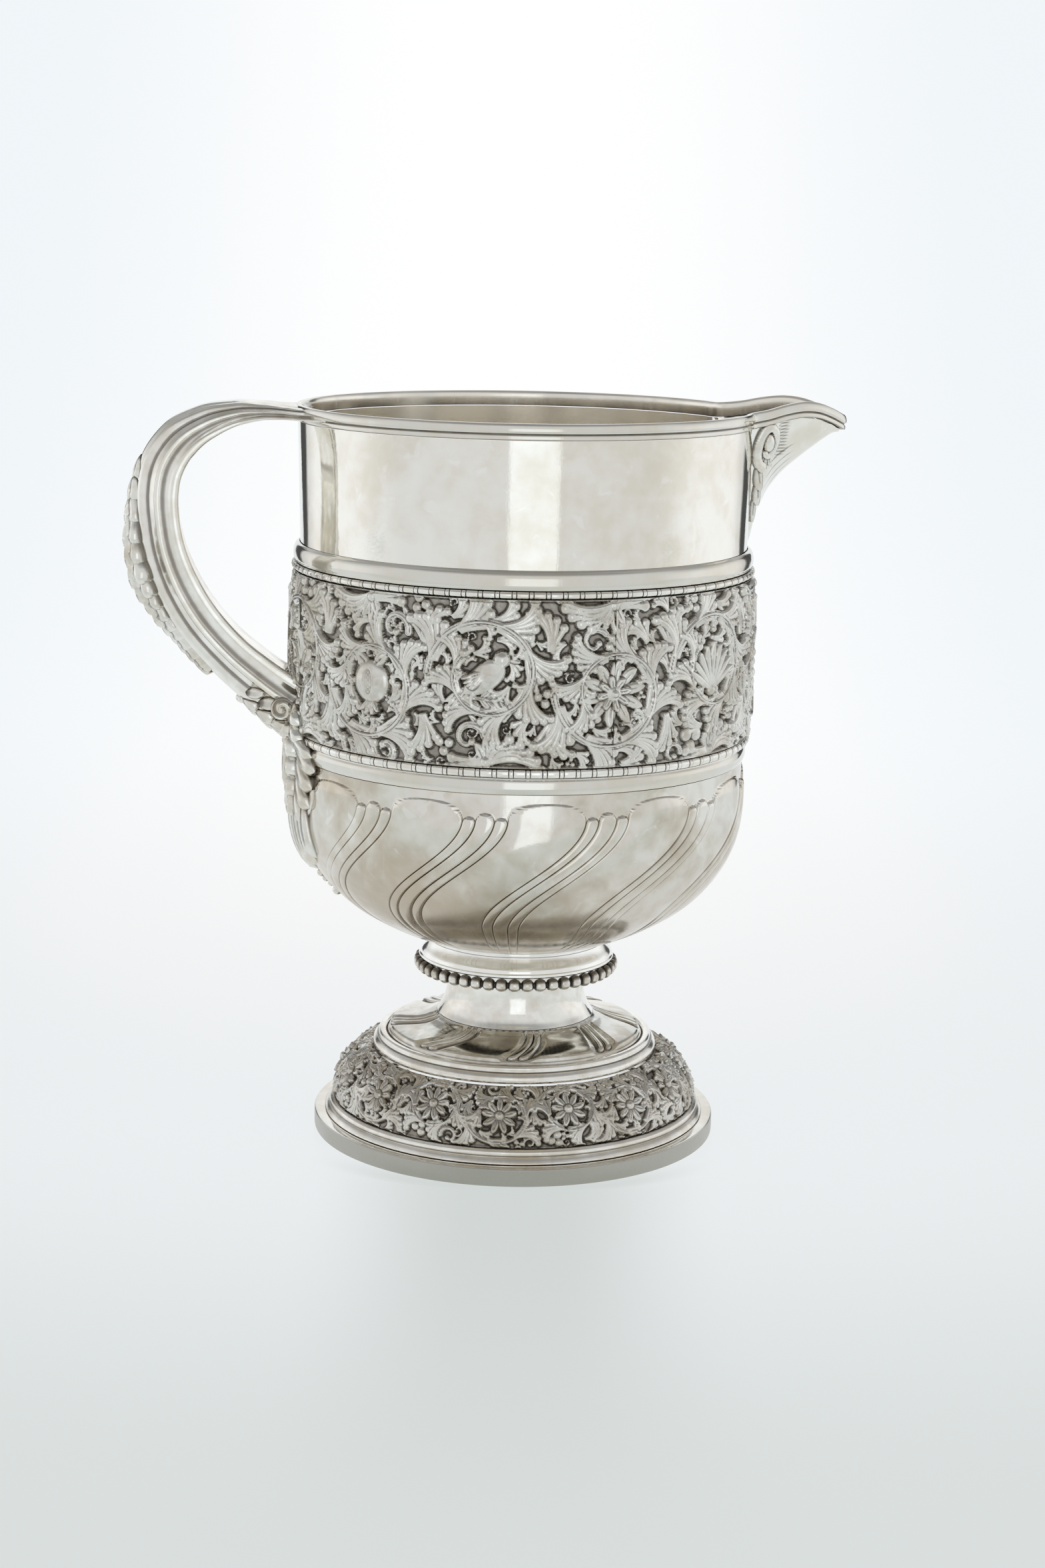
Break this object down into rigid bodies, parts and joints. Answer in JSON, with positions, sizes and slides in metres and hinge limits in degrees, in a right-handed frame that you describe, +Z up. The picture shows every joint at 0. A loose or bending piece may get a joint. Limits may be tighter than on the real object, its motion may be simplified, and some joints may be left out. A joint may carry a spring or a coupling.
{
  "type": "footed serving jug",
  "caption": "Footed silver serving jug with a chased cylindrical body, swirl-fluted bowl, beaded stem, beak spout with scroll mounts and a reeded loop handle.",
  "frame": {"origin": "on the resting plane, under the centre of the overall bounding box; the jug's own axis stands about 14 mm from it towards +X", "axes": "+Z up along the jug's axis, +X towards the spout, -X towards the handle"},
  "size_m": [0.2644, 0.1694, 0.2737],
  "materials": {
    "bright_silver": "polished silver, lightly tarnished",
    "soft_silver": "hand-worn silver with darkened recesses",
    "chased_silver": "chased and matted silver, oxidised in the ground"
  },
  "bodies": {
    "root": {"foot_ring": "soft_silver", "plinth_moulding": "soft_silver", "foot_chased_band": "chased_silver", "step_moulding": "bright_silver", "foot_dome": "bright_silver", "stem": "bright_silver", "bowl_collar": "bright_silver", "bead_ring": "soft_silver", "fluted_bowl": "bright_silver", "body_wall": "bright_silver", "lower_moulding": "bright_silver", "lower_reed_border": "soft_silver", "frieze_band": "chased_silver", "upper_reed_border": "soft_silver", "upper_moulding": "bright_silver", "rim_moulding": "bright_silver", "spout_lip": "bright_silver", "spout": "bright_silver", "spout_scroll_right": "soft_silver", "spout_scroll_left": "soft_silver", "handle": "bright_silver", "handle_husk_chain": "soft_silver", "handle_end_bead": "soft_silver", "handle_leaf": "soft_silver", "handle_scroll_right": "soft_silver", "handle_scroll_left": "soft_silver", "body_leaf_mount": "soft_silver", "bead_drop": "soft_silver"}
  },
  "joints": []
}
